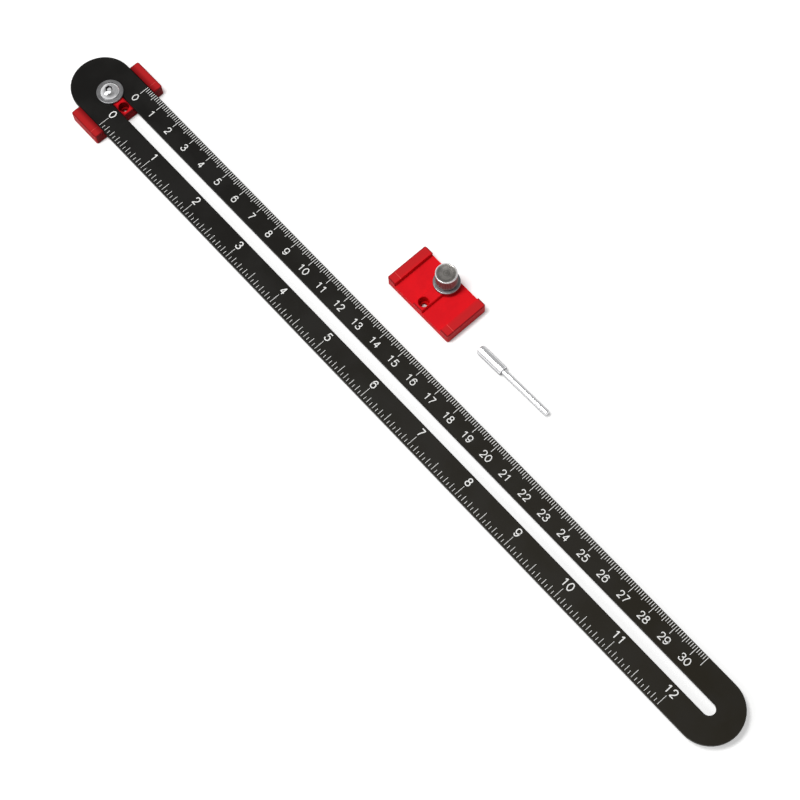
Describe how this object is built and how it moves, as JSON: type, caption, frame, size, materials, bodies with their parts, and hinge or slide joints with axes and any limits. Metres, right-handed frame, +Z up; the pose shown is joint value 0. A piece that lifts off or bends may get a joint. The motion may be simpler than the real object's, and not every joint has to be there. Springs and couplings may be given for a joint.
{
  "type": "beam compass",
  "caption": "Slotted flat beam with two scales, a channel block clamped under its zero end, a sliding channel block with a knurled thumb screw, and a stepped pivot pin.",
  "frame": {"origin": "on the axis of the head block's pivot hole, which is the zero of both scales, at the blocks' underside", "axes": "+X along the beam towards higher readings, +Y across it towards the centimetre scale, +Z up"},
  "size_m": [0.356, 0.0631, 0.0133],
  "materials": {
    "black_anodised": "satin black anodised",
    "white_marking": "matt white marking",
    "red_anodised": "satin red anodised",
    "washer_steel": "bright zinc plated",
    "screw_steel": "bright zinc plated",
    "knurled_steel": "turned and knurled",
    "pin_steel": "ground and polished"
  },
  "bodies": {
    "beam": {"beam": "black_anodised", "centimetre_marks": "white_marking", "inch_marks": "white_marking"},
    "head_block": {"head_block": "red_anodised"},
    "head_washer": {"head_washer": "washer_steel"},
    "head_screw": {"head_screw": "screw_steel"},
    "slider_block": {"slider_block": "red_anodised"},
    "knob_washer": {"knob_washer": "washer_steel"},
    "thumb_screw": {"thumb_screw": "knurled_steel"},
    "pivot_pin": {"pivot_pin": "pin_steel"}
  },
  "joints": [
    {"name": "head_block_slide", "type": "slide", "parent": "beam", "child": "head_block", "axis": [1, 0, 0], "range_m": [0, 0.3149]},
    {"name": "head_screw_lift", "type": "slide", "parent": "head_block", "child": "head_washer", "axis": [0, 0, 1], "range_m": [0, 0.0021]},
    {"name": "head_screw_turn", "type": "hinge", "parent": "head_washer", "child": "head_screw", "pos_m": [-0.0083, 0, 0.0063], "axis": [0, 0, 1], "range_deg": [0, 1080]},
    {"name": "slider_lift", "type": "slide", "parent": "beam", "child": "slider_block", "axis": [0, 0, 1], "range_m": [0, 0.04]},
    {"name": "knob_lift", "type": "slide", "parent": "slider_block", "child": "knob_washer", "axis": [0, 0, 1], "range_m": [0, 0.0035]},
    {"name": "knob_turn", "type": "hinge", "parent": "knob_washer", "child": "thumb_screw", "pos_m": [0.14, 0.0413, 0.0063], "axis": [0, 0, 1], "range_deg": [0, 1800]},
    {"name": "pin_lift", "type": "slide", "parent": "beam", "child": "pivot_pin", "axis": [0, 0, 1], "range_m": [0, 0.04]}
  ],
  "couplings": [
    {"joint": "head_screw_turn", "follows": "head_screw_lift", "rad_per_m": 8976},
    {"joint": "knob_turn", "follows": "knob_lift", "rad_per_m": 8976}
  ]
}
